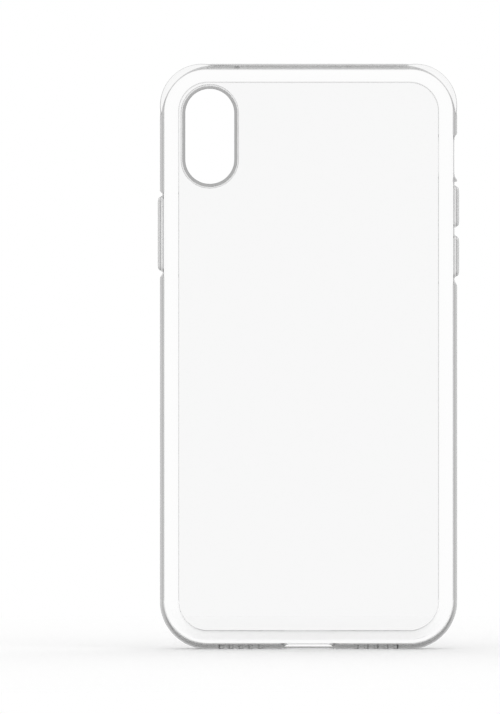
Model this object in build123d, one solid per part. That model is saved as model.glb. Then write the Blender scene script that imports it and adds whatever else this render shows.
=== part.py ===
from build123d import *
import os

# A clear hybrid case for a 6.1-inch phone: a rigid clear back panel held in a
# flexible clear frame, with three button covers that travel inwards.
#
# Millimetres. X is across the case, Y runs through its thickness from the
# outer back towards the open front, and Z is up. The pieces are drawn with
# Y = 0 at the frame's outer back face and Z = 0 at the bottom edge, so that
# a depth is a Y and a height is a Z. At the end they all move together, which
# puts the origin at the middle of the face that the phone's back rests on.
#
# An inset is measured from the outer silhouette inwards.

# ---- the phone that the case is made for ----
PHONE_WIDTH = 75.7
PHONE_HEIGHT = 150.9
PHONE_THICKNESS = 8.3
PHONE_CLEARANCE = 0.05

# ---- the case as a whole ----
CASE_WIDTH = 78.2
CASE_HEIGHT = 154.0
CASE_DEPTH = 10.3
BOTTOM_CORNER_RADIUS = 12.6
TOP_CORNER_RADIUS = 14.4
BACK_EDGE_RADIUS = 2.6
FRONT_EDGE_RADIUS = 1.4

# ---- the thickened top corners, each a round boss that fills the corner out ----
BOSS_RADIUS = 11.0
BOSS_INSET = 0.05
BOSS_NEAR_DEPTH = 1.2
BOSS_EDGE_RADIUS = 0.35

# ---- the pocket for the phone ----
POCKET_WIDTH = PHONE_WIDTH + 2 * PHONE_CLEARANCE
POCKET_HEIGHT = PHONE_HEIGHT + 2 * PHONE_CLEARANCE
POCKET_FLOOR_DEPTH = 1.3
LIP_UNDERSIDE_DEPTH = POCKET_FLOOR_DEPTH + PHONE_THICKNESS + PHONE_CLEARANCE
POCKET_CORNER_RADIUS = 11.4
POCKET_BACK_RADIUS = 0.6
POCKET_FRONT_RADIUS = 0.95
LIP_OVERHANG = 0.7
LIP_EDGE_RADIUS = 0.25

# ---- the rigid panel and the groove that holds it ----
PANEL_INSET = 5.0
PANEL_CORNER_RADIUS = 7.6
PANEL_OUTER_DEPTH = 0.1
PANEL_EDGE_RADIUS = 0.12
TONGUE_INSET = 3.9
TONGUE_NEAR_DEPTH = 0.5
TONGUE_FAR_DEPTH = 0.95
PARTING_GAP = 0.03

# ---- the camera window and its grommet ----
CAMERA_WIDTH = 12.9
CAMERA_HEIGHT = 25.0
CAMERA_X = -25.97
CAMERA_Z = 134.85
RING_SLEEVE = 0.6
RING_FLANGE = 1.2
RING_FLANGE_DEPTH = 0.4
RING_TOP_DEPTH = -0.25
RING_CREST = 0.4
RING_CREST_RADIUS = 0.15
RING_FLARE_MIDDLE = (0.75, 0.045)

# ---- openings through the walls ----
WALL_CUT_INSET = 2.4
WINDOW_NEAR_DEPTH = 2.33
WINDOW_FAR_DEPTH = 9.2
RING_SWITCH_LOW = 124.7
RING_SWITCH_HIGH = 134.8
RING_SWITCH_CORNER = 2.0
RING_SWITCH_RAMP = 1.4
RING_SWITCH_HIGH_RAMP = 0.8
PORT_WIDTH = 14.6
PORT_NEAR_DEPTH = 0.3
PORT_CORNER = 2.2
PORT_CUT_HEIGHT = 1.9
SOUND_HOLE_RADIUS = 0.7
SOUND_HOLE_PITCH = 2.6
SOUND_HOLE_COUNT = 5
SOUND_HOLE_NEAREST = 12.6
MID_PHONE_DEPTH = 5.5

# ---- button covers, each in a shallow recess of the side wall ----
RECESS_INSET = 0.7
RECESS_NEAR_DEPTH = 0.8
RECESS_CORNER = 2.0
VOLUME_RECESS = {"low": 97.3, "high": 122.8, "low_ramp": 1.8, "high_ramp": 0.3}
POWER_RECESS = {"low": 99.0, "high": 119.7, "low_ramp": 1.4, "high_ramp": 0.9}
PAD_WIDTH = 3.2
PAD_PROUD = 0.6
PAD_BACK_INSET = 0.85
PAD_EDGE_RADIUS = 0.4
VOLUME_PAD_LENGTH = 10.6
VOLUME_UP_Z = 116.5
VOLUME_DOWN_Z = 103.4
POWER_PAD_LENGTH = 19.5
POWER_Z = 109.35
WEB_MARGIN = 0.5
WEB_THICKNESS = 0.3
WEB_GAP = 0.03

# ---- where things lie ----
HALF_WIDTH = CASE_WIDTH / 2
PHONE_SEAT = Pos(0, -POCKET_FLOOR_DEPTH, -CASE_HEIGHT / 2)
BEYOND = 5.0


def rounded_outline(width, height, bottom_radius, top_radius):
    """A rectangle in X and Z, centred on the case, with rounded corners."""
    outline = Pos(0, CASE_HEIGHT / 2) * Rectangle(width, height)
    outline = fillet(outline.vertices().sort_by(Axis.Y)[:2], bottom_radius)
    return fillet(outline.vertices().sort_by(Axis.Y)[-2:], top_radius)


def inset_outline(inset, radius):
    """The case's rectangle moved inwards by the same amount all round."""
    width = CASE_WIDTH - 2 * inset
    height = CASE_HEIGHT - 2 * inset
    return rounded_outline(width, height, radius, radius)


def slab(outline, near_depth, far_depth):
    """An outline in X and Z, filled from one depth to another."""
    far_plane = Plane(origin=(0, far_depth, 0), x_dir=(1, 0, 0), z_dir=(0, -1, 0))
    return extrude(far_plane * outline, amount=far_depth - near_depth)


def side_block(outline, inner_inset, outer_inset):
    """An outline in depth and Z, filled from one inset of the +X side to another."""
    x = HALF_WIDTH - inner_inset
    plane = Plane(origin=(x, 0, 0), x_dir=(0, 1, 0), z_dir=(1, 0, 0))
    return extrude(plane * outline, amount=inner_inset - outer_inset)


def bottom_block(outline, low_z, high_z):
    """An outline in X and depth, filled from one height to another."""
    plane = Plane(origin=(0, 0, low_z), x_dir=(1, 0, 0), z_dir=(0, 0, 1))
    return extrude(plane * outline, amount=high_z - low_z)


def rounded_slab(outline, near_depth, far_depth, near_radius, far_radius):
    """A slab whose back and front edges are rounded."""
    body = slab(outline, near_depth, far_depth)
    body = fillet(body.faces().sort_by(Axis.Y)[0].edges(), near_radius)
    return fillet(body.faces().sort_by(Axis.Y)[-1].edges(), far_radius)


def corner_boss():
    """The boss in the +X top corner: flush with the front, and a step below the back."""
    reach = BOSS_INSET + BOSS_RADIUS
    outline = Pos(HALF_WIDTH - reach, CASE_HEIGHT - reach) * Circle(BOSS_RADIUS)
    return rounded_slab(outline, BOSS_NEAR_DEPTH, CASE_DEPTH, BOSS_EDGE_RADIUS, FRONT_EDGE_RADIUS)


def outer_body():
    """The case's outer shape, with a large round at the back and a smaller one in front."""
    outline = rounded_outline(CASE_WIDTH, CASE_HEIGHT, BOTTOM_CORNER_RADIUS, TOP_CORNER_RADIUS)
    body = rounded_slab(outline, 0, CASE_DEPTH, BACK_EDGE_RADIUS, FRONT_EDGE_RADIUS)
    boss = corner_boss()
    return body + boss + mirror(boss, about=Plane.YZ)


def pocket():
    """The space that the phone fills, and the narrower mouth that the lip leaves."""
    radius = POCKET_CORNER_RADIUS
    room = rounded_outline(POCKET_WIDTH, POCKET_HEIGHT, radius, radius)
    depths = (POCKET_FLOOR_DEPTH, LIP_UNDERSIDE_DEPTH)
    space = rounded_slab(room, *depths, POCKET_BACK_RADIUS, POCKET_FRONT_RADIUS)
    mouth_radius = radius - LIP_OVERHANG
    mouth_width = POCKET_WIDTH - 2 * LIP_OVERHANG
    mouth_height = POCKET_HEIGHT - 2 * LIP_OVERHANG
    mouth = rounded_outline(mouth_width, mouth_height, mouth_radius, mouth_radius)
    return space + slab(mouth, MID_PHONE_DEPTH, CASE_DEPTH + BEYOND)


def panel_seat():
    """The hole in the frame's back that the panel shows through, and its groove."""
    seat = slab(inset_outline(PANEL_INSET, PANEL_CORNER_RADIUS), -BEYOND, MID_PHONE_DEPTH)
    groove_radius = PANEL_CORNER_RADIUS + PANEL_INSET - TONGUE_INSET
    groove = inset_outline(TONGUE_INSET, groove_radius)
    return seat + slab(groove, TONGUE_NEAR_DEPTH, TONGUE_FAR_DEPTH)


def recess(low, high, low_ramp, high_ramp):
    """A shallow recess in the +X side, open at the front: a flat floor with a ramp up at each end."""
    far_depth = CASE_DEPTH + BEYOND
    floor_x = HALF_WIDTH - RECESS_INSET
    reach = (RECESS_INSET + BEYOND) / RECESS_INSET
    profile = Polyline(
        (floor_x, low),
        (floor_x, high),
        (HALF_WIDTH + BEYOND, high + high_ramp * reach),
        (HALF_WIDTH + BEYOND, low - low_ramp * reach),
        close=True,
    )
    cut = slab(make_face(profile), RECESS_NEAR_DEPTH, far_depth)
    middle = ((RECESS_NEAR_DEPTH + far_depth) / 2, (low - low_ramp + high + high_ramp) / 2)
    size = (far_depth - RECESS_NEAR_DEPTH, high + high_ramp - low + low_ramp)
    limits = Pos(*middle) * RectangleRounded(*size, RECESS_CORNER)
    return cut & side_block(limits, RECESS_INSET + 1, -BEYOND)


def button_outline(length, z, growth):
    """A button cover's rounded outline on the side wall, grown or shrunk all round."""
    slot = SlotOverall(length + 2 * growth, PAD_WIDTH + 2 * growth, rotation=90)
    return Pos(MID_PHONE_DEPTH, z) * slot


def button_window(length, z):
    """The hole through the recess floor that a button cover and its web fill."""
    return side_block(button_outline(length, z, WEB_MARGIN), RECESS_INSET + 1, 0)


def button_pad(length, z):
    """A button cover on the +X side, with rounded outer edges."""
    pad = side_block(button_outline(length, z, 0), PAD_BACK_INSET, -PAD_PROUD)
    return fillet(pad.faces().sort_by(Axis.X)[-1].edges(), PAD_EDGE_RADIUS)


def button_web(length, z):
    """The thin skin that joins a button cover to the recess floor."""
    inner_inset = RECESS_INSET + WEB_THICKNESS
    whole = side_block(button_outline(length, z, WEB_MARGIN - WEB_GAP), inner_inset, RECESS_INSET)
    return whole - side_block(button_outline(length, z, WEB_GAP), inner_inset + 1, 0)


def ring_switch_window():
    """The opening for the ring switch, in a recess with a ramp at its lower end for a fingertip."""
    height = RING_SWITCH_HIGH - RING_SWITCH_LOW
    depth = WINDOW_FAR_DEPTH - WINDOW_NEAR_DEPTH
    middle_depth = (WINDOW_FAR_DEPTH + WINDOW_NEAR_DEPTH) / 2
    middle_z = RING_SWITCH_LOW + height / 2
    opening = Pos(middle_depth, middle_z) * RectangleRounded(depth, height, RING_SWITCH_CORNER)
    shoulder = recess(RING_SWITCH_LOW, RING_SWITCH_HIGH, RING_SWITCH_RAMP, RING_SWITCH_HIGH_RAMP)
    return side_block(opening, WALL_CUT_INSET, -BEYOND) + shoulder


def port_window():
    """The opening in the bottom wall for the charging plug."""
    depth = WINDOW_FAR_DEPTH - PORT_NEAR_DEPTH
    middle_depth = PORT_NEAR_DEPTH + depth / 2
    outline = Pos(0, middle_depth) * RectangleRounded(PORT_WIDTH, depth, PORT_CORNER)
    return bottom_block(outline, -BEYOND, PORT_CUT_HEIGHT)


def sound_holes():
    """Rows of round holes for the speaker and the microphone, one each side of the port."""
    holes = Sketch()
    for index in range(SOUND_HOLE_COUNT):
        x = SOUND_HOLE_NEAREST + index * SOUND_HOLE_PITCH
        holes += Pos(x, MID_PHONE_DEPTH) * Circle(SOUND_HOLE_RADIUS)
        holes += Pos(-x, MID_PHONE_DEPTH) * Circle(SOUND_HOLE_RADIUS)
    return bottom_block(holes, -BEYOND, PORT_CUT_HEIGHT)


def bumper_frame():
    """The soft frame: side walls, back rim, front lip and every opening in them."""
    frame = outer_body() - pocket()
    mouth_edges = frame.faces().sort_by(Axis.Y)[-1].inner_wires()[0].edges()
    frame = fillet(mouth_edges, LIP_EDGE_RADIUS)
    frame -= panel_seat()
    frame -= recess(**VOLUME_RECESS)
    frame -= button_window(VOLUME_PAD_LENGTH, VOLUME_UP_Z)
    frame -= button_window(VOLUME_PAD_LENGTH, VOLUME_DOWN_Z)
    frame -= mirror(recess(**POWER_RECESS), about=Plane.YZ)
    frame -= mirror(button_window(POWER_PAD_LENGTH, POWER_Z), about=Plane.YZ)
    frame -= ring_switch_window()
    frame -= port_window()
    return frame - sound_holes()


def camera_outline(growth):
    """The camera window's rounded outline, grown all round."""
    slot = SlotOverall(CAMERA_HEIGHT + 2 * growth, CAMERA_WIDTH + 2 * growth, rotation=90)
    return Pos(CAMERA_X, CAMERA_Z) * slot


def back_panel():
    """The rigid plate, with the tongue that the frame's groove holds."""
    plate_outline = inset_outline(PANEL_INSET + PARTING_GAP, PANEL_CORNER_RADIUS - PARTING_GAP)
    plate = slab(plate_outline, PANEL_OUTER_DEPTH, POCKET_FLOOR_DEPTH)
    plate = fillet(plate.faces().sort_by(Axis.Y)[0].edges(), PANEL_EDGE_RADIUS)
    tongue_inset = TONGUE_INSET + PARTING_GAP
    tongue_radius = PANEL_CORNER_RADIUS + PANEL_INSET - tongue_inset
    near_depth = TONGUE_NEAR_DEPTH + PARTING_GAP
    far_depth = TONGUE_FAR_DEPTH - PARTING_GAP
    plate += slab(inset_outline(tongue_inset, tongue_radius), near_depth, far_depth)
    plate -= slab(camera_outline(RING_FLANGE), -BEYOND, RING_FLANGE_DEPTH)
    return plate - slab(camera_outline(RING_SLEEVE), -BEYOND, MID_PHONE_DEPTH)


def camera_ring():
    """The grommet: a sleeve through the panel, a flange let into it, and a raised crest."""
    sleeve = RING_SLEEVE - PARTING_GAP
    flange = RING_FLANGE - PARTING_GAP
    flange_depth = RING_FLANGE_DEPTH - PARTING_GAP
    shoulder = RING_TOP_DEPTH + RING_CREST_RADIUS
    walls = Polyline(
        (0, shoulder),
        (0, POCKET_FLOOR_DEPTH),
        (sleeve, POCKET_FLOOR_DEPTH),
        (sleeve, flange_depth),
        (flange, flange_depth),
        (flange, PANEL_OUTER_DEPTH),
    )
    flare = ThreePointArc(walls @ 1, RING_FLARE_MIDDLE, (RING_CREST, shoulder))
    outer_round = TangentArc(flare @ 1, (RING_CREST - RING_CREST_RADIUS, RING_TOP_DEPTH), tangent=(0, -1))
    top = Line(outer_round @ 1, (RING_CREST_RADIUS, RING_TOP_DEPTH))
    inner_round = TangentArc(top @ 1, walls @ 0, tangent=(-1, 0))
    section = make_face([walls, flare, outer_round, top, inner_round])
    path = (Plane.XZ * camera_outline(0)).faces()[0].outer_wire()
    return sweep(Pos(CAMERA_X + CAMERA_WIDTH / 2, 0, CAMERA_Z) * section, path=path)


def export_all(pieces):
    """One STEP file per node, in the frame whose origin is on the phone's seat."""
    os.makedirs("parts", exist_ok=True)
    for node, piece in pieces.items():
        export_step(PHONE_SEAT * piece, f"parts/{node}.step")


PIECES = {
    "bumper_frame": bumper_frame(),
    "back_panel": back_panel(),
    "camera_ring": camera_ring(),
    "volume_up_pad": button_pad(VOLUME_PAD_LENGTH, VOLUME_UP_Z),
    "volume_up_web": button_web(VOLUME_PAD_LENGTH, VOLUME_UP_Z),
    "volume_down_pad": button_pad(VOLUME_PAD_LENGTH, VOLUME_DOWN_Z),
    "volume_down_web": button_web(VOLUME_PAD_LENGTH, VOLUME_DOWN_Z),
    "power_button_pad": mirror(button_pad(POWER_PAD_LENGTH, POWER_Z), about=Plane.YZ),
    "power_button_web": mirror(button_web(POWER_PAD_LENGTH, POWER_Z), about=Plane.YZ),
}
export_all(PIECES)
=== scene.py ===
import math
from functools import partial

import bmesh
import bpy
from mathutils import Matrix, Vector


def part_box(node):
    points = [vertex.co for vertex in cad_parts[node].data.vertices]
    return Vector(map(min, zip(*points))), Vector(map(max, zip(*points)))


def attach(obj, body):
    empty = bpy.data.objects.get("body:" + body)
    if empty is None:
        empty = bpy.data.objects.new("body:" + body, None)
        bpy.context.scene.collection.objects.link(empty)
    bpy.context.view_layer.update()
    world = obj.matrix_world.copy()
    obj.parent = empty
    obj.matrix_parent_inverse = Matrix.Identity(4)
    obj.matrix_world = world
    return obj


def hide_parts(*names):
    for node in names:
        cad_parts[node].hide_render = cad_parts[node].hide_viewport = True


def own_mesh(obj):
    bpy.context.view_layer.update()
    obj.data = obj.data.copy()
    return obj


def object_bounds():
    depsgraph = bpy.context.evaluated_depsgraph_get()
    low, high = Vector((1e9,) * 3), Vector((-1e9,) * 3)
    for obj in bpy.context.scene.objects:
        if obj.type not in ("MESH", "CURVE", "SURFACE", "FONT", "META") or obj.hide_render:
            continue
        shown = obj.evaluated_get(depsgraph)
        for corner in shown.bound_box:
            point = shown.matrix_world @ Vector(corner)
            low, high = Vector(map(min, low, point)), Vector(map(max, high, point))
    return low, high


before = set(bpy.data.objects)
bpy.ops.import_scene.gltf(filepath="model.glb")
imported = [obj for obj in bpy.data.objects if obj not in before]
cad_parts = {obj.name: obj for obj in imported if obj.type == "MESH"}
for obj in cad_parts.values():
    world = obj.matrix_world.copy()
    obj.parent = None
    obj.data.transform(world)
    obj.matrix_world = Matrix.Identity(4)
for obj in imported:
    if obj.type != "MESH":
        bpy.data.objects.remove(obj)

CAD_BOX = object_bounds()

# Shapes are worked out in millimetres, from the CAD nodes' boxes. A place is an
# x, a depth from the frame's outer back face, and a z from the middle of the
# case. An inset is measured from the outer silhouette inwards.
MM = 0.001


def box_mm(node):
    low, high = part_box(node)
    return low / MM, high / MM


FRAME_LOW, FRAME_HIGH = box_mm("bumper_frame")
HALF_WIDTH = FRAME_HIGH.x
HALF_HEIGHT = (FRAME_HIGH.z - FRAME_LOW.z) / 2
MIDDLE_Z = (FRAME_HIGH.z + FRAME_LOW.z) / 2
BACK_Y = FRAME_LOW.y
CASE_DEPTH = FRAME_HIGH.y - FRAME_LOW.y

PANEL_LOW, PANEL_HIGH = box_mm("back_panel")
PANEL_OUTER = PANEL_LOW.y - BACK_Y
PANEL_INNER = PANEL_HIGH.y - BACK_Y

RING_LOW, RING_HIGH = box_mm("camera_ring")
RING_REACH = 1.17
RING_CREST_DEPTH = RING_LOW.y - BACK_Y
CAMERA_HOLE_X = (RING_LOW.x + RING_HIGH.x) / 2
CAMERA_HOLE_Z = (RING_LOW.z + RING_HIGH.z) / 2 - MIDDLE_Z
CAMERA_HOLE_RADIUS = (RING_HIGH.x - RING_LOW.x) / 2 - RING_REACH
CAMERA_HOLE_STRAIGHT = (RING_HIGH.z - RING_LOW.z) / 2 - RING_REACH - CAMERA_HOLE_RADIUS

# ---- outlines seen from behind: corner radii and wall thicknesses ----
BOTTOM_CORNER = 12.6
TOP_CORNER = 14.4
SIDE_WALL = 1.2
END_WALL = 1.5
POCKET_CORNER = 11.4
PANEL_INSET = 5.0
PANEL_CORNER = 7.6
PARTING_GAP = 0.03

# ---- the top corners' bosses: each is a rounder corner that fills the body's
# corner out. The near face is a step, which starts at the foot's depth ----
BOSS_RADIUS = 11.0
BOSS_INSET = 0.05
BOSS_FOOT = 1.18
BOSS_NEAR = 1.2
BOSS_EDGE = 0.35
BOSS_FRONT = 0.8
BOSS_BLEND = 0.1

# ---- the frame's cross-section ----
BACK_RADIUS = 2.6
FRONT_RADIUS = 1.4
POCKET_FLOOR = 1.3
POCKET_BACK_RADIUS = 0.4
POCKET_FRONT_RADIUS = 0.95
LIP_UNDERSIDE = 9.65
LIP_OVERHANG = 0.7
LIP_EDGE = 0.25
LIP_MOUTH_LOW = 9.72
SMALL_ROUND = 0.15
SEAM_WIDTH = 0.9
SEAM_DROP = 0.26

# ---- the recesses. Each is given by the z where its lower ramp starts and ends,
# and where its upper ramp starts and ends ----
RECESS_INSET = 0.7
VOLUME_RECESS = (18.5, 20.3, 45.8, 46.1)
RING_SWITCH_RECESS = (46.3, 47.7, 57.8, 58.6)
POWER_RECESS = (20.6, 22.0, 42.7, 43.6)
RECESSES = {"right": (VOLUME_RECESS, RING_SWITCH_RECESS), "left": (POWER_RECESS,)}

# ---- the openings through the walls ----
WINDOW_ROUND = 0.3
INNER_ROUND = 0.15
WALL_NEAR = 1.85
WALL_FAR = 9.2
RING_SWITCH_SPAN = (47.7, 57.8)
RING_SWITCH_NEAR = 2.33
RING_SWITCH_CORNER = 2.0
RING_SWITCH_MARGIN = 0.5

MID_DEPTH = 5.5
BUTTON_HALF_WIDTH = 2.1
BUTTON_ROUND = 0.12
BUTTON_MARGIN = 0.3
BUTTON_LINES = (3.05, 7.9)
BUTTONS = {
    "volume_up": ("right", 33.7, 45.3),
    "volume_down": ("right", 20.6, 32.2),
    "power_button": ("left", 22.1, 42.6),
}

PORT_HALF_WIDTH = 7.0
PORT_NEAR = 0.45
PORT_INNER_NEAR = 1.56
PORT_CORNER = 1.9
PORT_MARGIN = 0.6

HOLE_RADIUS = 0.7
HOLE_MARGIN = 0.9
HOLES = [12.6 + 2.6 * index for index in range(5)]


class Outline:
    """A rounded rectangle in x and z, centred on the case."""

    def __init__(self, half_width, half_height, bottom_radius, top_radius):
        self.half_width = half_width
        self.half_height = half_height
        self.radii = {"bottom": bottom_radius, "top": top_radius}

    def inset(self, amount):
        bottom = self.radii["bottom"] - amount
        top = self.radii["top"] - amount
        return Outline(self.half_width - amount, self.half_height - amount, bottom, top)

    def place(self, station, boss_inset=None):
        """x and z at a station: a side with a position along it, or a corner with a share of its turn."""
        part, value = station
        if part == "bottom":
            return value, -self.half_height
        if part == "top":
            return value, self.half_height
        if part == "right":
            return self.half_width, value
        if part == "left":
            return -self.half_width, value
        end, side, start = part
        radius = self.radii[end]
        x = (self.half_width - radius) * side
        z = (self.half_height - radius) * (1 if end == "top" else -1)
        turn = math.radians(start + 90 * value)
        if boss_inset is not None and end == "top":
            radius = boss_union(radius, turn, boss_inset)
        return x + radius * math.cos(turn), z + radius * math.sin(turn)


def boss_union(radius, turn, boss_inset):
    """The corner's reach in one direction, where its body and its boss are joined softly."""
    offset = TOP_CORNER - BOSS_INSET - BOSS_RADIUS
    along = offset * (abs(math.cos(turn)) + abs(math.sin(turn)))
    boss = along + math.sqrt((BOSS_RADIUS - boss_inset) ** 2 - 2 * offset ** 2 + along ** 2)
    # The blend fades out beside the straight walls, so that they meet the corner flush.
    blend = BOSS_BLEND * min(1.0, 4 * abs(math.sin(2 * turn)))
    return (radius + boss + math.hypot(radius - boss, blend)) / 2


SILHOUETTE = Outline(HALF_WIDTH, HALF_HEIGHT, BOTTOM_CORNER, TOP_CORNER)
POCKET = Outline(HALF_WIDTH - SIDE_WALL, HALF_HEIGHT - END_WALL, POCKET_CORNER, POCKET_CORNER)
PANEL_HOLE = Outline(HALF_WIDTH - PANEL_INSET, HALF_HEIGHT - PANEL_INSET, PANEL_CORNER, PANEL_CORNER)

# ---- stations: where the section is placed round the case ----
CORNERS = {
    "bottom_right": ("bottom", 1, -90),
    "top_right": ("top", 1, 0),
    "top_left": ("top", -1, 90),
    "bottom_left": ("bottom", -1, 180),
}
CORNER_STEPS = {"bottom": 40, "top": 48}


def spread(start, end, step):
    """Evenly spaced positions from start to end, without the end."""
    count = max(1, round(abs(end - start) / step))
    return [start + (end - start) * index / count for index in range(count)]


def lines(*stretches):
    """Positions along a side, from stretches that each have their own step."""
    positions = []
    for start, end, step in stretches:
        positions += spread(start, end, step)
    return positions + [stretches[-1][1]]


def corner_stations(name):
    corner = CORNERS[name]
    count = CORNER_STEPS[corner[0]]
    return [(corner, index / count) for index in range(count + 1)]


def stations_round(bottom, right, top, left):
    """Every station round the case, anticlockwise as seen from behind."""
    return (
        [("bottom", x) for x in bottom]
        + corner_stations("bottom_right")
        + [("right", z) for z in right]
        + corner_stations("top_right")
        + [("top", x) for x in reversed(top)]
        + corner_stations("top_left")
        + [("left", z) for z in reversed(left)]
        + corner_stations("bottom_left")
    )


RIGHT_LINES = lines(
    (-62.0, 18.2, 4.0), (18.2, 20.3, 0.3), (20.3, 32.5, 0.5), (32.5, 33.4, 0.45), (33.4, 45.6, 0.5),
    (45.6, 46.4, 0.1), (46.4, 47.2, 0.2), (47.2, 58.3, 0.5), (58.3, 58.8, 0.1), (58.8, 62.5, 2.0),
)
LEFT_LINES = lines(
    (-62.0, 20.3, 4.0), (20.3, 21.85, 0.3), (21.85, 42.85, 0.5), (42.85, 43.8, 0.2), (43.8, 62.5, 3.5),
)
TOP_LINES = lines((-24.5, 24.5, 2.45))
PORT_STEP = 0.55
BOTTOM_START = 8.1
BOTTOM_END = 25.0
BOTTOM_STEP = 2.0


def bottom_lines():
    """Positions along the bottom: close ones over the port, and four to the width of each sound hole."""
    port_edge = PORT_HALF_WIDTH + PORT_MARGIN
    middle = lines((-port_edge, port_edge, PORT_STEP))
    half = []
    start = BOTTOM_START
    for x in HOLES:
        low, high = x - HOLE_MARGIN, x + HOLE_MARGIN
        half += spread(start, low, BOTTOM_STEP) + spread(low, high, HOLE_MARGIN / 2)
        start = high
    half += [start, BOTTOM_END]
    return [-x for x in reversed(half)] + middle + half


class Mesher:
    """Gathers points in millimetres and faces, and turns them into a Blender object."""

    def __init__(self):
        self.points = []
        self.faces = []
        self.fills = []

    def loop(self, places):
        first = len(self.points)
        self.points += places
        return list(range(first, len(self.points)))

    def bridge(self, one, other):
        """Quads between two closed loops with the same number of points."""
        for index in range(len(one)):
            after = (index + 1) % len(one)
            self.faces.append((one[index], one[after], other[after], other[index]))

    def bridge_all(self, loops):
        for one, other in zip(loops, loops[1:]):
            self.bridge(one, other)

    def fill(self, *loops):
        """A flat face whose edge is the first loop, and whose holes are the others."""
        self.fills.append(loops)

    def build(self, name):
        mesh = bpy.data.meshes.new(name)
        places = [(x * MM, (BACK_Y + depth) * MM, (MIDDLE_Z + z) * MM) for x, depth, z in self.points]
        mesh.from_pydata(places, [], self.faces)
        work = bmesh.new()
        work.from_mesh(mesh)
        work.verts.ensure_lookup_table()
        for loops in self.fills:
            edges = []
            for loop in loops:
                pairs = zip(loop, loop[1:] + loop[:1])
                edges += [work.edges.get((work.verts[a], work.verts[b])) for a, b in pairs]
            bmesh.ops.triangle_fill(work, edges=edges, use_beauty=True)
        bmesh.ops.recalc_face_normals(work, faces=work.faces)
        for face in work.faces:
            face.smooth = True
        work.to_mesh(mesh)
        work.free()
        piece = bpy.data.objects.new(name, mesh)
        bpy.context.scene.collection.objects.link(piece)
        return piece


# ---- the walls' insets ----
def smooth_step(value):
    value = min(max(value, 0.0), 1.0)
    return value * value * (3 - 2 * value)


def round_inset(radius, past):
    """How far a round edge has turned inwards at a distance past its start."""
    return radius - math.sqrt(max(0.0, radius ** 2 - past ** 2))


def recess_inset(side, z):
    """How far a recess takes the outer wall inwards at a place on it."""
    deepest = 0.0
    for low_start, low_end, high_start, high_end in RECESSES.get(side, ()):
        low = (z - low_start) / (low_end - low_start)
        high = (high_end - z) / (high_end - high_start)
        deepest = max(deepest, RECESS_INSET * smooth_step(min(low, high)))
    return deepest


def outer_inset(side, along, depth):
    """The outer wall's inset at a depth, from its rounds and any recess."""
    recess = recess_inset(side, along)
    if depth < BACK_RADIUS:
        return recess + round_inset(BACK_RADIUS, BACK_RADIUS - depth) * (1 - recess / BACK_RADIUS)
    front_start = CASE_DEPTH - FRONT_RADIUS
    if depth > front_start:
        return max(round_inset(FRONT_RADIUS, depth - front_start), recess)
    return recess


def boss_inset_at(depth):
    """The boss's inset from its own widest outline at a depth past its near face."""
    near_end = BOSS_NEAR + BOSS_EDGE
    front_start = CASE_DEPTH - BOSS_FRONT
    if depth < near_end:
        return round_inset(BOSS_EDGE, near_end - depth)
    if depth > front_start:
        return round_inset(BOSS_FRONT, depth - front_start)
    return 0.0


def pocket_inset(depth):
    """The pocket wall's inset from its own widest outline at a depth."""
    back_end = POCKET_FLOOR + POCKET_BACK_RADIUS
    front_start = LIP_UNDERSIDE - POCKET_FRONT_RADIUS
    if depth < back_end:
        return round_inset(POCKET_BACK_RADIUS, back_end - depth)
    if depth > front_start:
        return round_inset(POCKET_FRONT_RADIUS, min(depth - front_start, POCKET_FRONT_RADIUS))
    return 0.0


# ---- the frame's section, as one function of the station for each of its lines.
# The outer and the inner wall are divided at these depths. The lists are equally
# long, so that an opening can join line to line through the wall ----
OUTER_DEPTHS = (
    [0.07, 0.15, 0.25, 0.38, 0.55, 0.75, 0.98]
    + [BOSS_FOOT, BOSS_FOOT + 0.003, BOSS_NEAR, BOSS_NEAR + 0.021, BOSS_NEAR + 0.082, BOSS_NEAR + 0.19]
    + [BOSS_NEAR + BOSS_EDGE, WALL_NEAR, 2.2, 2.6, 3.05, 3.5, 4.0]
    + lines((4.6, 6.4, 0.45), (6.4, 8.9, 0.5))
    + [9.2, 9.45, 9.65]
)
INNER_DEPTHS = (
    [POCKET_FLOOR + POCKET_BACK_RADIUS * (1 - math.cos(math.radians(angle))) for angle in spread(18, 90, 5.2)]
    + [POCKET_FLOOR + POCKET_BACK_RADIUS, 2.3, 2.65, 3.05, 3.5, 4.0]
    + lines((4.6, 6.4, 0.45), (6.4, 8.4, 0.5))
    + [8.75, 9.05, 9.27, 9.45]
)


def arc(centre_inset, centre_depth, radius, start, end, count, height=None):
    """Insets and depths on a round or elliptical arc. Zero degrees points to the back, and 90 outwards."""
    height = height or radius
    angles = [math.radians(start + (end - start) * index / count) for index in range(count + 1)]
    return [(centre_inset - radius * math.sin(a), centre_depth - height * math.cos(a)) for a in angles]


def wall_place(side, along, depth, inset):
    """A place on or in a side wall, from its position along the side, its depth and its inset."""
    if side == "bottom":
        return along, depth, -HALF_HEIGHT + inset
    if side == "top":
        return along, depth, HALF_HEIGHT - inset
    if side == "right":
        return HALF_WIDTH - inset, depth, along
    return -HALF_WIDTH + inset, depth, along


def outline_place(station, outline, depth):
    x, z = outline.place(station)
    return x, depth, z


def outer_place(station, depth):
    """A place on the outer wall at a station."""
    part, value = station
    if isinstance(part, str):
        return wall_place(part, value, depth, outer_inset(part, value, depth))
    body = SILHOUETTE.inset(outer_inset("corner", 0, depth))
    x, z = body.place(station)
    if depth > BOSS_FOOT:
        share = min(1.0, (depth - BOSS_FOOT) / (BOSS_NEAR - BOSS_FOOT))
        outer_x, outer_z = body.place(station, boss_inset_at(max(depth, BOSS_NEAR)))
        x += (outer_x - x) * share
        z += (outer_z - z) * share
    return x, depth, z


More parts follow.
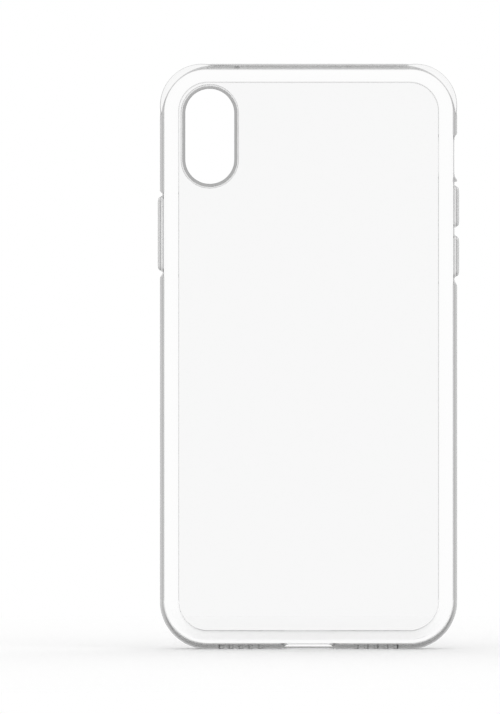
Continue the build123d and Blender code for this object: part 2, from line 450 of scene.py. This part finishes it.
def front_place(station, inset, depth):
    """A place on the front round, which the recesses and the bosses reach into."""
    part, along = station
    if isinstance(part, str):
        inset = max(inset, recess_inset(part, along))
    x, z = SILHOUETTE.inset(inset).place(station, boss_inset_at(depth))
    return x, depth, z


def inner_place(station, depth):
    """A place on the pocket's wall at a station."""
    return outline_place(station, POCKET.inset(pocket_inset(depth)), depth)


def frame_section():
    """The frame's closed cross-section, line by line, and where its outer and inner walls start."""
    section = []

    def add(outline, points):
        section.extend(partial(outline_place, outline=outline.inset(inset), depth=depth) for inset, depth in points)

    # The panel's hole, the slope down to its seam, and the start of the back round.
    add(PANEL_HOLE, [(0, POCKET_FLOOR / 2), (0, SEAM_DROP)])
    add(PANEL_HOLE, arc(-SEAM_WIDTH, SEAM_DROP, SEAM_WIDTH, -90, 0, 9, SEAM_DROP)[1:])
    add(SILHOUETTE, arc(BACK_RADIUS, BACK_RADIUS, BACK_RADIUS, 0, 7, 1))
    outer_start = len(section)
    section.extend(partial(outer_place, depth=depth) for depth in OUTER_DEPTHS)
    front = arc(FRONT_RADIUS, CASE_DEPTH - FRONT_RADIUS, FRONT_RADIUS, 130, 180, 6)
    section.extend(partial(front_place, inset=inset, depth=depth) for inset, depth in front)
    # The lip: its rounded mouth, and its underside as far as the pocket's wall.
    mouth = POCKET.inset(LIP_OVERHANG)
    add(mouth, arc(-LIP_EDGE, CASE_DEPTH - LIP_EDGE, LIP_EDGE, 180, 270, 5))
    add(mouth, [(0, LIP_MOUTH_LOW + 0.1), (0, LIP_MOUTH_LOW), (-0.04, LIP_MOUTH_LOW - 0.09)])
    add(POCKET, arc(POCKET_FRONT_RADIUS, LIP_UNDERSIDE - POCKET_FRONT_RADIUS, POCKET_FRONT_RADIUS, 158, 150, 1))
    inner_start = len(section)
    section.extend(partial(inner_place, depth=depth) for depth in reversed(INNER_DEPTHS))
    # The end of the pocket's back edge, and the floor's edge at the panel.
    add(POCKET, arc(POCKET_BACK_RADIUS, POCKET_FLOOR + POCKET_BACK_RADIUS, POCKET_BACK_RADIUS, 14, 0, 2))
    add(PANEL_HOLE, arc(-SMALL_ROUND, POCKET_FLOOR - SMALL_ROUND, SMALL_ROUND, 180, 270, 3))
    return section, outer_start, inner_start


# ---- openings through the frame's walls ----
class Window:
    """An opening through a wall: a rounded rectangle in position along the side and depth."""

    def __init__(self, side, low, high, near, far, corner, outer_round, inner_near=None):
        self.side = side
        self.thickness = END_WALL if side == "bottom" else SIDE_WALL
        self.spans = {"outer": (low, high, near, far), "inner": (low, high, inner_near or near, far)}
        self.corner = corner
        self.outer_round = outer_round

    def on_edge(self, wall, share_along, share_depth, growth):
        """The grown outline's point for a point of the surrounding rectangle, given as shares from -1 to 1."""
        low, high, near, far = self.spans[wall]
        half_along = (high - low) / 2 + growth
        half_depth = (far - near) / 2 + growth
        radius = min(self.corner + growth, half_along, half_depth)
        across = [share_along * half_along, share_depth * half_depth]
        core = [half_along - radius, half_depth - radius]
        past = [abs(value) - limit for value, limit in zip(across, core)]
        if past[0] > 0 and past[1] > 0:
            length = math.hypot(*past)
            for axis in (0, 1):
                across[axis] = math.copysign(core[axis] + radius * past[axis] / length, across[axis])
        return (low + high) / 2 + across[0], (near + far) / 2 + across[1]

    def outer_ring(self, shares, growth, deeper):
        """Places round the opening, below the outer wall by an amount."""
        ring = []
        for share in shares:
            along, depth = self.on_edge("outer", *share, growth)
            ring.append(wall_place(self.side, along, depth, outer_inset(self.side, along, depth) + deeper))
        return ring

    def inner_ring(self, shares, growth, deeper):
        """Places round the opening, short of the pocket's wall by an amount."""
        ring = []
        for share in shares:
            along, depth = self.on_edge("inner", *share, growth)
            ring.append(wall_place(self.side, along, depth, self.thickness + pocket_inset(depth) - deeper))
        return ring


def nearest(values, wanted):
    return min(range(len(values)), key=lambda index: abs(values[index] - wanted))


def between(one, other, share):
    """A ring of places part of the way from one ring to another."""
    return [tuple(a + (b - a) * share for a, b in zip(p, q)) for p, q in zip(one, other)]


def window_rings(window, shares, outer_grid):
    """The rings of places that lead from the outer wall's grid through the window to the pocket's wall."""
    side = window.side
    first = window.outer_ring(shares, window.outer_round, 0)
    halfway = []
    for x, depth, z in between(outer_grid, first, 0.5):
        along = x if side == "bottom" else z
        halfway.append(wall_place(side, along, depth, outer_inset(side, along, depth)))
    rings = [halfway, first]
    for angle in (22.5, 45, 67.5, 90):
        turn = math.radians(angle)
        growth = window.outer_round * (1 - math.sin(turn))
        rings.append(window.outer_ring(shares, growth, window.outer_round * (1 - math.cos(turn))))
    end = window.inner_ring(shares, 0, INNER_ROUND)
    if window.spans["outer"] != window.spans["inner"]:
        # A curve that leaves the outer ring square to the wall and turns to the inner one.
        start = rings[-1]
        bend = [wall_place(side, q[0], p[1], window.thickness + pocket_inset(q[1])) for p, q in zip(start, end)]
        for share in (0.2, 0.4, 0.6, 0.8):
            rings.append(between(between(start, bend, share), between(bend, end, share), share))
    rings.append(end)
    for angle in (60, 30, 0):
        turn = math.radians(angle)
        growth = INNER_ROUND * (1 - math.sin(turn))
        rings.append(window.inner_ring(shares, growth, INNER_ROUND * (1 - math.cos(turn))))
    return rings


def cut_window(mesher, grid, stations, walls, window, rectangle):
    """Joins the outer and inner walls round one window. Returns the grid cells that it takes the place of."""
    low, high, near, far = rectangle
    on_side = [index for index, station in enumerate(stations) if station[0] == window.side]
    values = [stations[index][1] for index in on_side]
    first, last = sorted(on_side[nearest(values, value)] for value in (low, high))
    near_line = nearest(OUTER_DEPTHS, near)
    far_line = nearest(OUTER_DEPTHS, far)
    stretch = range(first, last + 1)
    depths = range(near_line, far_line + 1)
    border = [(index, near_line) for index in stretch]
    border += [(last, line) for line in depths[1:]]
    border += [(index, far_line) for index in reversed(stretch[:-1])]
    border += [(first, line) for line in reversed(depths[1:-1])]

    low, high = sorted((stations[first][1], stations[last][1]))
    near, far = OUTER_DEPTHS[near_line], OUTER_DEPTHS[far_line]
    shares = []
    for index, line in border:
        along = (stations[index][1] - low) / (high - low) * 2 - 1
        across = (OUTER_DEPTHS[line] - near) / (far - near) * 2 - 1
        shares.append((along, across))

    outer_start, inner_start = walls
    inner_last = inner_start + len(INNER_DEPTHS) - 1
    outer_loop = [grid[index][outer_start + line] for index, line in border]
    inner_loop = [grid[index][inner_last - line] for index, line in border]
    outer_grid = [mesher.points[point] for point in outer_loop]
    rings = [mesher.loop(ring) for ring in window_rings(window, shares, outer_grid)]
    mesher.bridge_all([outer_loop] + rings + [inner_loop])
    cells = set()
    for index in stretch[:-1]:
        for line in depths[:-1]:
            cells.add((index, outer_start + line))
            cells.add((index, inner_last - line - 1))
    return cells


def frame_windows():
    """Every opening in the frame's walls, with the part of the wall's grid that it takes."""
    low, high = RING_SWITCH_SPAN
    ring_switch = Window("right", low, high, RING_SWITCH_NEAR, WALL_FAR, RING_SWITCH_CORNER, WINDOW_ROUND)
    far = OUTER_DEPTHS[-1]
    yield ring_switch, (low - RING_SWITCH_MARGIN, high + RING_SWITCH_MARGIN, WALL_NEAR, far)
    near_edge, far_edge = MID_DEPTH - BUTTON_HALF_WIDTH, MID_DEPTH + BUTTON_HALF_WIDTH
    for side, low, high in BUTTONS.values():
        window = Window(side, low, high, near_edge, far_edge, BUTTON_HALF_WIDTH, BUTTON_ROUND)
        yield window, (low - BUTTON_MARGIN, high + BUTTON_MARGIN, *BUTTON_LINES)
    half = PORT_HALF_WIDTH
    port = Window("bottom", -half, half, PORT_NEAR, WALL_FAR, PORT_CORNER, WINDOW_ROUND, PORT_INNER_NEAR)
    yield port, (-half - PORT_MARGIN, half + PORT_MARGIN, OUTER_DEPTHS[0], far)
    near_edge, far_edge = MID_DEPTH - HOLE_RADIUS, MID_DEPTH + HOLE_RADIUS
    for x in HOLES + [-x for x in HOLES]:
        hole = Window("bottom", x - HOLE_RADIUS, x + HOLE_RADIUS, near_edge, far_edge, HOLE_RADIUS, BUTTON_ROUND)
        yield hole, (x - HOLE_MARGIN, x + HOLE_MARGIN, MID_DEPTH - HOLE_MARGIN, MID_DEPTH + HOLE_MARGIN)


def make_frame():
    """The soft frame as one closed skin, with every opening let into it."""
    stations = stations_round(bottom_lines(), RIGHT_LINES, TOP_LINES, LEFT_LINES)
    section, *walls = frame_section()
    mesher = Mesher()
    grid = [mesher.loop([place(station) for place in section]) for station in stations]
    taken = set()
    for window, rectangle in frame_windows():
        taken |= cut_window(mesher, grid, stations, walls, window, rectangle)
    for index, one in enumerate(grid):
        other = grid[(index + 1) % len(grid)]
        for line in range(len(section)):
            if (index, line) not in taken:
                after = (line + 1) % len(section)
                mesher.faces.append((one[line], other[line], other[after], one[after]))
    return mesher.build("soft_frame")


# ---- the panel and the camera grommet. A growth is measured from the camera
# window's edge outwards ----
PANEL_ROUND = 0.22
PANEL_SIDE_LINES = lines((-62.0, 62.0, 6.0))
PANEL_END_LINES = lines((-24.0, 24.0, 4.0))
PANEL_HOLE_STEPS = (
    (1.28, PANEL_OUTER), (1.24, PANEL_OUTER), (1.2, 0.12), (1.14, 0.27), (1.1, 0.3), (0.63, 0.3), (0.6, 0.33),
    (0.6, PANEL_INNER - 0.06), (0.66, PANEL_INNER), (0.8, PANEL_INNER), (1.0, PANEL_INNER),
)
RING_SLEEVE = 0.57
RING_CREST_ROUND = 0.17
RING_FLARE_START = 0.24
RING_FLARE_STEPS = 11
RING_FLARE_POWER = 1.7
RING_FLARE_DEPTH = PANEL_OUTER - 0.005


def slot_loop(centre_x, centre_z, half_straight, radius, depth, turn_steps=32, straight_steps=8):
    """An upright slot's outline at one depth: two half circles joined by straight sides."""
    places = []
    for up in (1, -1):
        start = 0 if up == 1 else 180
        for index in range(turn_steps + 1):
            turn = math.radians(start + 180 * index / turn_steps)
            x = centre_x + radius * math.cos(turn)
            z = centre_z + up * half_straight + radius * math.sin(turn)
            places.append((x, depth, z))
        for index in range(1, straight_steps):
            z = centre_z + up * half_straight * (1 - 2 * index / straight_steps)
            places.append((centre_x - up * radius, depth, z))
    return places


def camera_hole_loop(growth, depth):
    radius = CAMERA_HOLE_RADIUS + growth
    return slot_loop(CAMERA_HOLE_X, CAMERA_HOLE_Z, CAMERA_HOLE_STRAIGHT, radius, depth)


def make_panel():
    """The rigid plate, and the stepped hole that the grommet fills."""
    stations = stations_round(PANEL_END_LINES, PANEL_SIDE_LINES, PANEL_END_LINES, PANEL_SIDE_LINES)
    mesher = Mesher()
    plate = PANEL_HOLE.inset(PARTING_GAP)
    # Two lines beside each round keep the shading of the flat faces flat.
    section = [(0.33, PANEL_OUTER), (0.31, PANEL_OUTER)]
    section += arc(PANEL_ROUND, PANEL_OUTER + PANEL_ROUND, PANEL_ROUND, 0, 90, 6)
    section += arc(SMALL_ROUND, PANEL_INNER - SMALL_ROUND, SMALL_ROUND, 90, 180, 4)
    section += [(0.2, PANEL_INNER), (0.24, PANEL_INNER)]
    edge = []
    for inset, depth in section:
        outline = plate.inset(inset)
        edge.append(mesher.loop([outline_place(station, outline, depth) for station in stations]))
    mesher.bridge_all(edge)
    hole = [mesher.loop(camera_hole_loop(growth, depth)) for growth, depth in PANEL_HOLE_STEPS]
    mesher.bridge_all(hole)
    mesher.fill(edge[0], hole[0])
    mesher.fill(edge[-1], hole[-1])
    return mesher.build("clear_back_plate")


def make_ring():
    """The grommet: a sleeve with a rounded crest, whose outer flank flares out onto the panel."""
    mesher = Mesher()
    section = [(0, PANEL_INNER - 0.06), (0, 0.6), (0, 0.1)]
    for angle in range(0, 91, 15):
        turn = math.radians(angle)
        growth = RING_CREST_ROUND * (1 - math.cos(turn))
        section.append((growth, RING_CREST_DEPTH + RING_CREST_ROUND * (1 - math.sin(turn))))
    for index in range(RING_FLARE_STEPS + 1):
        share = index / RING_FLARE_STEPS
        growth = RING_FLARE_START + (RING_REACH - RING_FLARE_START) * share
        lift = (1 - share) ** RING_FLARE_POWER
        section.append((growth, RING_FLARE_DEPTH + (RING_CREST_DEPTH - RING_FLARE_DEPTH) * lift))
    # The flange's edge and underside, and the sleeve down to the panel's inner face.
    section += [(RING_REACH, 0.105), (1.11, 0.255), (1.08, 0.27), (0.6, 0.27), (RING_SLEEVE, 0.3)]
    section += [(RING_SLEEVE, 0.8), (RING_SLEEVE, PANEL_INNER - 0.06), (RING_SLEEVE - 0.06, PANEL_INNER)]
    section += [(0.06, PANEL_INNER)]
    loops = [mesher.loop(camera_hole_loop(growth, depth)) for growth, depth in section]
    mesher.bridge_all(loops + [loops[0]])
    return mesher.build("camera_grommet")


# ---- the button covers and their skins ----
PAD_ROUND = 0.75
PAD_BASE = 0.25
PAD_CROWN = 0.1
SKIN_TOP = 0.25
SKIN_FOOT = 0.78
# Each point is a growth from the cover's flank and an inset.
SKIN_SECTION = (
    (0.03, SKIN_TOP), (0.1, 0.27), (0.2, 0.37), (0.32, 0.58), (0.4, 0.68), (0.46, 0.71),
    (0.46, 0.82), (0.36, SKIN_FOOT), (0.24, 0.63), (0.12, 0.43), (0.03, 0.38),
)


class Cover:
    """A button cover's slot-shaped outline on its side wall, from the box of its CAD node."""

    def __init__(self, name, side):
        low, high = box_mm(name + "_pad")
        self.sign = 1 if side == "right" else -1
        self.radius = (high.y - low.y) / 2
        self.half_straight = (high.z - low.z) / 2 - self.radius
        self.centre_z = (high.z + low.z) / 2 - MIDDLE_Z
        self.proud = max(abs(low.x), abs(high.x)) - HALF_WIDTH
        self.back = HALF_WIDTH - min(abs(low.x), abs(high.x))

    def loop(self, growth, inset):
        """The outline, grown by an amount, at one inset."""
        radius = self.radius + growth
        flat = slot_loop(0, self.centre_z, self.half_straight, radius, 0, turn_steps=24, straight_steps=12)
        return [(self.sign * (HALF_WIDTH - inset), MID_DEPTH + across * self.sign, z) for across, _, z in flat]


def make_pad(name, side):
    """A crowned button cover, from its back face to the middle of its crown."""
    cover = Cover(name, side)
    back = cover.back
    shoulder = cover.proud - PAD_CROWN
    section = [(0.5, back), (0.12, back), (0.03, back - 0.04), (0, back - 0.12), (0, PAD_BASE)]
    for angle in range(10, 91, 10):
        turn = math.radians(angle)
        section.append((PAD_ROUND * (1 - math.cos(turn)), PAD_BASE - (PAD_BASE + shoulder) * math.sin(turn)))
    for share in (0.2, 0.4, 0.6, 0.8, 0.97):
        shrink = PAD_ROUND + (cover.radius - PAD_ROUND) * share
        section.append((shrink, -shoulder - PAD_CROWN * math.sin(share * math.pi / 2)))
    mesher = Mesher()
    loops = [mesher.loop(cover.loop(-shrink, inset)) for shrink, inset in section]
    mesher.bridge_all(loops)
    mesher.fill(loops[0])
    mesher.fill(loops[-1])
    return mesher.build(name + "_cover")


def make_skin(name, side):
    """The thin flexing skin from the recess floor up to the button cover's flank."""
    cover = Cover(name, side)
    mesher = Mesher()
    loops = [mesher.loop(cover.loop(growth, inset)) for growth, inset in SKIN_SECTION]
    mesher.bridge_all(loops + [loops[0]])
    return mesher.build(name + "_skin")


# ---- materials. A density is the light taken per metre of plastic, and a
# waviness has a scale and a height in metres ----
SOFT_IOR = 1.5
HARD_IOR = 1.58
FRAME_DENSITY = 5.0
PANEL_DENSITY = 45.0
RING_DENSITY = 580.0
COVER_DENSITY = 12.0
SOFT_WAVES = (300.0, 0.0000005)
HARD_WAVES = (60.0, 0.000001)


def clear_material(name, ior, density, waves):
    """A clear plastic that takes some light, with a faint moulded waviness."""
    material = bpy.data.materials.new(name)
    material.use_nodes = True
    nodes = material.node_tree.nodes
    links = material.node_tree.links
    shader = nodes["Principled BSDF"]
    shader.inputs["Base Color"].default_value = (1.0, 1.0, 1.0, 1.0)
    shader.inputs["Roughness"].default_value = 0.0
    shader.inputs["IOR"].default_value = ior
    shader.inputs["Transmission Weight"].default_value = 1.0
    absorption = nodes.new("ShaderNodeVolumeAbsorption")
    absorption.inputs["Color"].default_value = (0.0, 0.0, 0.0, 1.0)
    absorption.inputs["Density"].default_value = density
    links.new(absorption.outputs["Volume"], nodes["Material Output"].inputs["Volume"])
    scale, height = waves
    place = nodes.new("ShaderNodeTexCoord")
    noise = nodes.new("ShaderNodeTexNoise")
    noise.inputs["Scale"].default_value = scale
    noise.inputs["Detail"].default_value = 2.0
    bump = nodes.new("ShaderNodeBump")
    bump.inputs["Distance"].default_value = height
    bump.inputs["Strength"].default_value = 1.0
    links.new(place.outputs["Object"], noise.inputs["Vector"])
    links.new(noise.outputs["Fac"], bump.inputs["Height"])
    links.new(bump.outputs["Normal"], shader.inputs["Normal"])
    return material


def stand_for(piece, node, body, material):
    """Gives a piece its material and lets it stand for a CAD node."""
    piece.data.materials.append(material)
    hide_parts(node)
    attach(piece, body)


# ---- the studio. The camera looks straight at the back from far away, like the
# photograph's. Its side and rise are its offsets from the case's middle and the
# floor ----
VIEW_HEIGHT = 0.18775
VIEW_SIDE = -0.0154
VIEW_RISE = 0.07686
LENS = 450.0
SENSOR = 36.0
CLIP_END = 100.0

# Light that the plastic reflects on and on inside finds REFLECTED_LIGHT, and
# light that it bends fully aside finds ASIDE_LIGHT, once it has passed more
# than one layer. Aside is the sine of the angle to the case's own axis through
# its thickness. A reflection counts as REFLECTION_LAYERS passes more.
REFLECTIONS_START = 1.0
REFLECTIONS_END = 3.0
REFLECTED_LIGHT = 0.68
ASIDE_START = 0.07
ASIDE_END = 1.0
ASIDE_LIGHT = 0.45
ONE_LAYER = 5.0
MANY_LAYERS = 8.0
REFLECTION_LAYERS = 2.0

FLOOR_SIZE = 0.6
FLOOR_WHITE = 0.99
# Painted shade: the floor's colour falls from white to the next value for light that has reflected inside the
# plastic, standing in for a darker studio.
FLOOR_PAINTED_SHADE = 0.62
FLOOR_REFLECTIONS_END = 2.0

MOST_BOUNCES = 32
GLOSSY_BOUNCES = 16


def make_camera():
    data = bpy.data.cameras.new("camera")
    data.lens = LENS
    data.sensor_width = SENSOR
    data.clip_end = CLIP_END
    camera = bpy.data.objects.new("camera", data)
    bpy.context.scene.collection.objects.link(camera)
    distance = LENS / SENSOR * VIEW_HEIGHT
    camera.location = (VIEW_SIDE, -distance, CAD_BOX[0].z + VIEW_RISE)
    camera.rotation_euler = (math.pi / 2, 0, 0)
    bpy.context.scene.camera = camera


class Graph:
    """A node tree, with short ways to add its nodes. A value is an output or a plain number."""

    def __init__(self, tree):
        self.nodes = tree.nodes
        self.links = tree.links
        self.path = tree.nodes.new("ShaderNodeLightPath")
        # A light path's depth counts its reflections and its passes through a surface.
        passes = self.path.outputs["Transmission Depth"]
        self.reflections = self.calculate("SUBTRACT", self.path.outputs["Ray Depth"], passes)

    def feed(self, socket, value):
        if isinstance(value, bpy.types.NodeSocket):
            self.links.new(value, socket)
        else:
            socket.default_value = value

    def calculate(self, operation, *values):
        node = self.nodes.new("ShaderNodeMath")
        node.operation = operation
        for socket, value in zip(node.inputs, values):
            self.feed(socket, value)
        return node.outputs["Value"]

    def fall(self, value, start, end, most, least):
        """Falls from most to least while a value goes from start to end."""
        node = self.nodes.new("ShaderNodeMapRange")
        self.feed(node.inputs["Value"], value)
        self.feed(node.inputs["From Min"], start)
        self.feed(node.inputs["From Max"], end)
        self.feed(node.inputs["To Min"], most)
        self.feed(node.inputs["To Max"], least)
        return node.outputs["Result"]

    def choose(self, factor, usual, otherwise):
        """The usual value where the factor is 0, and the other where it is 1."""
        node = self.nodes.new("ShaderNodeMix")
        node.data_type = "FLOAT"
        for index, value in ((0, factor), (2, usual), (3, otherwise)):
            self.feed(node.inputs[index], value)
        return node.outputs[0]


def make_world():
    """A white surround. Light that the plastic bends aside, or reflects on and on inside, finds a darker studio."""
    world = bpy.data.worlds.new("studio")
    bpy.context.scene.world = world
    world.use_nodes = True
    world.cycles.sampling_method = "NONE"
    graph = Graph(world.node_tree)
    nodes = graph.nodes
    path = graph.path.outputs

    place = nodes.new("ShaderNodeTexCoord")
    flat = nodes.new("ShaderNodeVectorMath")
    flat.operation = "MULTIPLY"
    flat.inputs[1].default_value = (1.0, 0.0, 1.0)
    length = nodes.new("ShaderNodeVectorMath")
    length.operation = "LENGTH"
    graph.feed(flat.inputs[0], place.outputs["Generated"])
    graph.feed(length.inputs[0], flat.outputs["Vector"])

    deep = graph.fall(graph.reflections, REFLECTIONS_START, REFLECTIONS_END, 1.0, REFLECTED_LIGHT)
    aside = graph.fall(length.outputs["Value"], ASIDE_START, ASIDE_END, 1.0, ASIDE_LIGHT)
    through = graph.calculate("MULTIPLY", deep, aside)
    layers = graph.calculate("MULTIPLY_ADD", graph.reflections, REFLECTION_LAYERS, path["Ray Depth"])
    straight = graph.fall(layers, ONE_LAYER, MANY_LAYERS, 1.0, 0.0)
    bent = graph.choose(straight, through, 1.0)
    seen = graph.choose(path["Is Camera Ray"], bent, 1.0)
    # The floor takes a little light, so it gets a little more, and comes out white.
    strength = graph.choose(path["Diffuse Depth"], seen, 1 / FLOOR_WHITE)
    graph.feed(nodes["Background"].inputs["Strength"], strength)
    nodes["Background"].inputs["Color"].default_value = (1.0, 1.0, 1.0, 1.0)


def make_floor():
    """A white floor under the case, with painted shade: its colour is darker for light that has reflected inside
    the plastic.
    """
    bpy.ops.mesh.primitive_plane_add(size=FLOOR_SIZE, location=(0, 0, CAD_BOX[0].z))
    floor = bpy.context.object
    floor.name = "floor"
    material = bpy.data.materials.new("floor")
    material.use_nodes = True
    graph = Graph(material.node_tree)
    diffuse = graph.nodes.new("ShaderNodeBsdfDiffuse")
    # Painted shade: the floor's colour is darker for light that has reflected inside the plastic.
    floor_colour_with_painted_shade = graph.fall(graph.reflections, 0.0, FLOOR_REFLECTIONS_END, FLOOR_WHITE, FLOOR_PAINTED_SHADE)
    graph.feed(diffuse.inputs["Color"], floor_colour_with_painted_shade)
    graph.feed(graph.nodes["Material Output"].inputs["Surface"], diffuse.outputs["BSDF"])
    floor.data.materials.append(material)


make_camera()
make_world()
make_floor()
scene = bpy.context.scene
scene.view_settings.view_transform = "Standard"
scene.cycles.max_bounces = MOST_BOUNCES
scene.cycles.transmission_bounces = MOST_BOUNCES
scene.cycles.glossy_bounces = GLOSSY_BOUNCES

soft = clear_material("clear_soft", SOFT_IOR, FRAME_DENSITY, SOFT_WAVES)
hard = clear_material("clear_hard", HARD_IOR, PANEL_DENSITY, HARD_WAVES)
rim = clear_material("clear_soft_rim", SOFT_IOR, RING_DENSITY, SOFT_WAVES)
cover = clear_material("clear_soft_cover", SOFT_IOR, COVER_DENSITY, SOFT_WAVES)

stand_for(make_frame(), "bumper_frame", "case_body", soft)
stand_for(make_panel(), "back_panel", "case_body", hard)
stand_for(make_ring(), "camera_ring", "case_body", rim)
for button, (side, _, _) in BUTTONS.items():
    stand_for(make_pad(button, side), button + "_pad", button, cover)
    skin = make_skin(button, side)
    stand_for(skin, button + "_web", "case_body", soft)
    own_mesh(skin)
